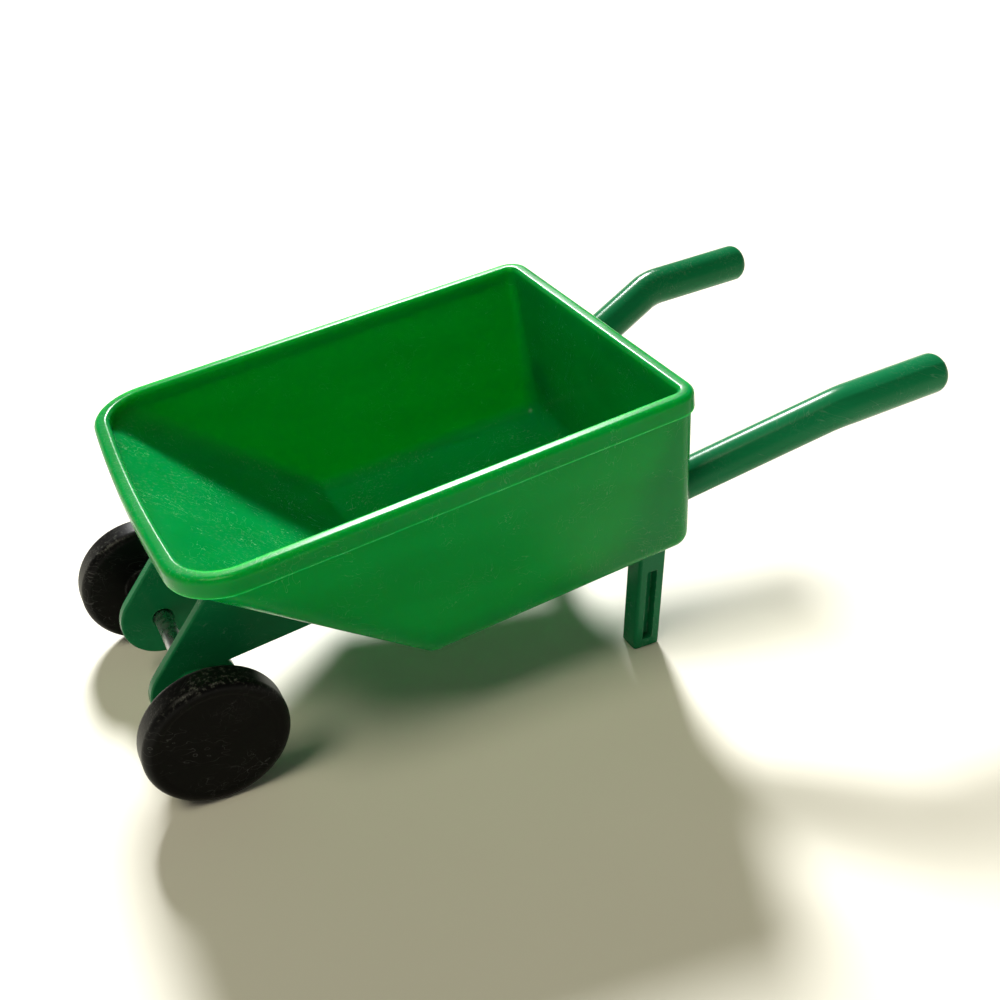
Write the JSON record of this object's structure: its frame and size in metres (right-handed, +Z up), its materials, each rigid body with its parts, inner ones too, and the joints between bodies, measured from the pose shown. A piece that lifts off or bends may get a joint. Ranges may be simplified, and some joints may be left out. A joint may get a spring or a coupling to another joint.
{
  "type": "toy wheelbarrow",
  "caption": "Small moulded plastic toy wheelbarrow: open tub with a sloped front, bent round handles, grooved legs and black disc wheels turning on a steel axle.",
  "frame": {"origin": "on the ground, under the middle of the barrow's overall length and width", "axes": "+X forwards to the wheels, +Y to the barrow's left side, +Z up"},
  "size_m": [0.1084, 0.0494, 0.042],
  "materials": {
    "tub_green": "smooth glossy moulded plastic, kelly green",
    "frame_green": "smooth moulded plastic, a slightly bluer green",
    "wheel_black": "satin black moulded plastic",
    "axle_steel": "plain drawn steel pin"
  },
  "bodies": {
    "barrow": {"tub": "tub_green", "handle_left": "frame_green", "handle_right": "frame_green", "leg_left": "frame_green", "leg_right": "frame_green", "bracket_left": "frame_green", "bracket_right": "frame_green"},
    "wheelset": {"axle": "axle_steel", "wheel_left": "wheel_black", "wheel_right": "wheel_black"}
  },
  "joints": [
    {"name": "axle_spin", "type": "hinge", "parent": "barrow", "child": "wheelset", "pos_m": [0.04551, 0, 0.0087], "axis": [0, 1, 0], "continuous": true}
  ]
}
